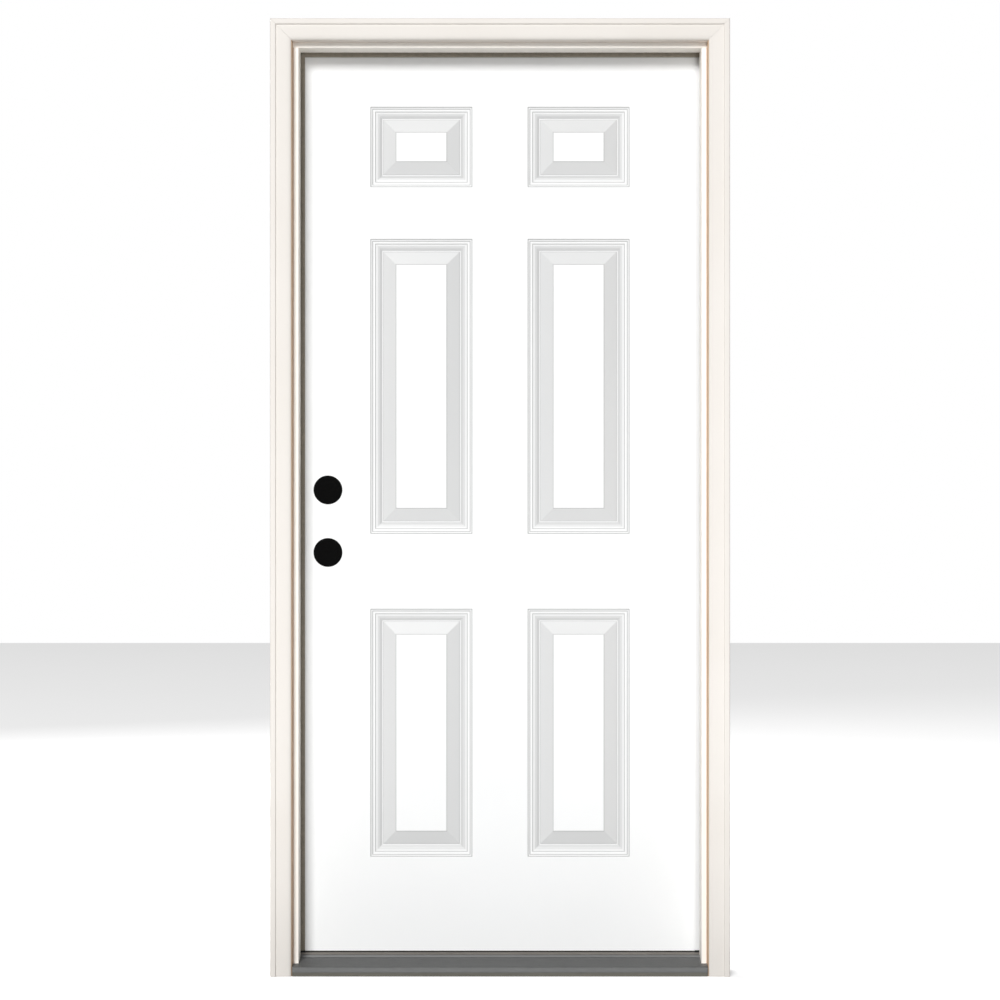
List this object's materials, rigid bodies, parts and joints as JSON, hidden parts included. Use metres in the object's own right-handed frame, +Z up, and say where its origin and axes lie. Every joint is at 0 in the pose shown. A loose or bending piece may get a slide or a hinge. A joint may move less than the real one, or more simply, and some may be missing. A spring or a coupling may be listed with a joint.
{
  "type": "panelled front door",
  "caption": "Prehung panelled steel entry door that swings inwards on butt hinges, with wood jambs, brickmould, weatherstrips and a low sill, bored for a lock.",
  "frame": {"origin": "on the sill's underside at the middle of the opening, in the plane of the wall's outer face, where the brickmould's back bears", "axes": "+Z up, -Y outdoors, +Y indoors, +X to the right seen from outdoors, which is the hinge side"},
  "size_m": [1.01, 0.1668, 2.105],
  "materials": {
    "jamb_primer": "matte cream primer on pine",
    "brickmould_primer": "matte cream primer on pine",
    "slab_primer": "smooth white primer on steel",
    "bare_pine": "bare pine",
    "foam": "closed-cell foam",
    "bronze_vinyl": "dark bronze vinyl",
    "black_foam": "black foam",
    "sweep_vinyl": "dark vinyl",
    "grey_aluminium": "grey anodised",
    "grey_composite": "moulded composite",
    "brown_composite": "brownish composite",
    "hinge_steel": "zinc plated, satin",
    "screw_steel": "yellow zinc plated",
    "nail_steel": "bright finish nail"
  },
  "bodies": {
    "frame": {"hinge_jamb": "jamb_primer", "strike_jamb": "jamb_primer", "head_jamb": "jamb_primer", "hinge_brickmould": "brickmould_primer", "strike_brickmould": "brickmould_primer", "head_brickmould": "brickmould_primer", "hinge_weatherstrip": "bronze_vinyl", "strike_weatherstrip": "bronze_vinyl", "head_weatherstrip": "bronze_vinyl", "hinge_corner_pad": "black_foam", "strike_corner_pad": "black_foam", "sill_deck": "grey_aluminium", "sill_cap": "grey_composite", "sill_base": "brown_composite", "top_jamb_leaf": "hinge_steel", "top_hinge_pin": "hinge_steel", "middle_jamb_leaf": "hinge_steel", "middle_hinge_pin": "hinge_steel", "bottom_jamb_leaf": "hinge_steel", "bottom_hinge_pin": "hinge_steel", "sill_cap_screws": "screw_steel", "frame_screws": "screw_steel", "jamb_leaf_screws": "screw_steel", "brickmould_nails": "nail_steel"},
    "door": {"exterior_skin": "slab_primer", "interior_skin": "slab_primer", "foam_core": "foam", "hinge_stile": "bare_pine", "lock_stile": "bare_pine", "top_rail": "bare_pine", "bottom_rail": "bare_pine", "lock_block": "bare_pine", "bottom_sweep": "sweep_vinyl", "top_door_leaf": "hinge_steel", "middle_door_leaf": "hinge_steel", "bottom_door_leaf": "hinge_steel", "door_leaf_screws": "screw_steel"}
  },
  "joints": [
    {"name": "door_swing", "type": "hinge", "parent": "frame", "child": "door", "pos_m": [0.4556, 0.1287, 1.098], "axis": [0, 0, -1], "range_deg": [0, 180]}
  ]
}
